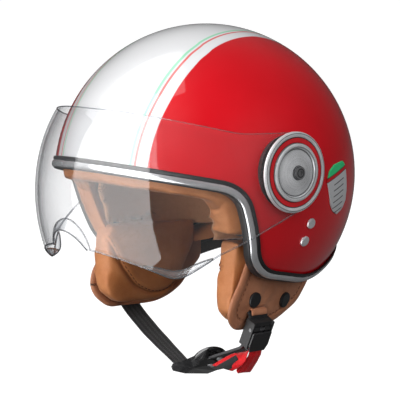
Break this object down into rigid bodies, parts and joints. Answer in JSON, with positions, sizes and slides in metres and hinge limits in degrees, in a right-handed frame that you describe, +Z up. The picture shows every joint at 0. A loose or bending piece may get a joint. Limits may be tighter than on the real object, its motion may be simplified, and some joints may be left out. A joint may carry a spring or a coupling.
{
  "type": "open face motorcycle helmet",
  "caption": "Open face motorcycle helmet: round shell with a striped finish, clear bubble visor on side pivots, leather ear flaps and a chin strap with a quick release buckle.",
  "frame": {"origin": "centre of the shell's ellipsoid, the middle of the wearer's head", "axes": "+Z up through the crown, -Y towards the face, +X towards the wearer's left; the head enters from below"},
  "size_m": [0.2622, 0.2741, 0.2887],
  "materials": {
    "shell_paint": "high gloss red lacquer with a white centre stripe and pinstripes",
    "foam": "expanded polystyrene, black",
    "lining": "quilted dark brown lining",
    "tan_leather": "soft tan leather",
    "flap_leather": "tan leather, bound edge",
    "trim_rubber": "matt black",
    "trim_chrome": "bright",
    "badge_metal": "satin",
    "rivet_metal": "satin",
    "webbing": "woven black webbing",
    "stud_black": "satin black",
    "black_plastic": "satin moulded",
    "gloss_black": "glossy moulded",
    "strip_plastic": "satin flexible plastic",
    "nylon": "natural",
    "spring_steel": "spring temper",
    "satin_metal": "satin, fine turned",
    "red_ring": "gloss red",
    "screw_steel": "zinc plated",
    "visor_clear": "clear polycarbonate, hard coated",
    "red_ribbon": "woven red ribbon"
  },
  "bodies": {
    "helmet": {"outer_shell": "shell_paint", "eps_liner": "foam", "crown_liner": "lining", "brow_roll": "tan_leather", "neck_roll": "tan_leather", "edge_trim_rubber": "trim_rubber", "edge_trim_chrome": "trim_chrome", "badge_left": "badge_metal", "badge_right": "badge_metal", "strap_rivets_left": "rivet_metal", "strap_rivets_right": "rivet_metal", "rivet_washers_left": "rivet_metal", "rivet_washers_right": "rivet_metal", "strap_hanger_left": "webbing", "strap_hanger_right": "webbing", "ear_flap_left": "flap_leather", "ear_flap_right": "flap_leather", "cheek_pad_left": "tan_leather", "cheek_pad_right": "tan_leather", "flap_studs_left": "stud_black", "flap_studs_right": "stud_black", "slot_tab_left": "flap_leather", "slot_tab_right": "flap_leather", "pivot_base_left": "black_plastic", "pivot_base_right": "black_plastic", "pivot_bush_left": "nylon", "pivot_bush_right": "nylon", "spring_washer_left": "spring_steel", "spring_washer_right": "spring_steel", "medallion_outer_left": "satin_metal", "medallion_outer_right": "satin_metal", "medallion_red_left": "red_ring", "medallion_red_right": "red_ring", "medallion_inner_left": "satin_metal", "medallion_inner_right": "satin_metal", "medallion_disc_left": "satin_metal", "medallion_disc_right": "satin_metal", "pivot_screw_left": "screw_steel", "pivot_screw_right": "screw_steel", "pivot_nut_left": "screw_steel", "pivot_nut_right": "screw_steel"},
    "visor": {"visor_shield": "visor_clear"},
    "chin_strap": {"chin_strap_short": "webbing", "buckle_receiver": "black_plastic", "lever_pin": "screw_steel", "lever_spring": "spring_steel"},
    "release_lever": {"release_lever": "black_plastic", "pull_ribbon": "red_ribbon"},
    "tongue": {"ratchet_strip": "strip_plastic", "strip_rivets": "rivet_metal", "slider_base": "gloss_black", "chin_strap_long": "webbing"}
  },
  "joints": [
    {"name": "visor_hinge", "type": "hinge", "parent": "helmet", "child": "visor", "pos_m": [0, -0.0143, 0.0132], "axis": [-1, 0, 0], "range_deg": [0, 60]},
    {"name": "chin_strap_swing", "type": "hinge", "parent": "helmet", "child": "chin_strap", "pos_m": [0, -0.015, -0.106], "axis": [1, 0, 0], "range_deg": [-9, 9]},
    {"name": "release_lever_lift", "type": "hinge", "parent": "chin_strap", "child": "release_lever", "pos_m": [0.08557, -0.015, -0.11598], "axis": [0, -1, 0], "range_deg": [0, 26], "stiffness_Nm_per_rad": 0.05, "springref_deg": -11.46},
    {"name": "ratchet_slide", "type": "slide", "parent": "chin_strap", "child": "tongue", "axis": [-0.4195, 0, -0.9078], "range_m": [0, 0.03], "deforming": ["chin_strap_long"]}
  ]
}
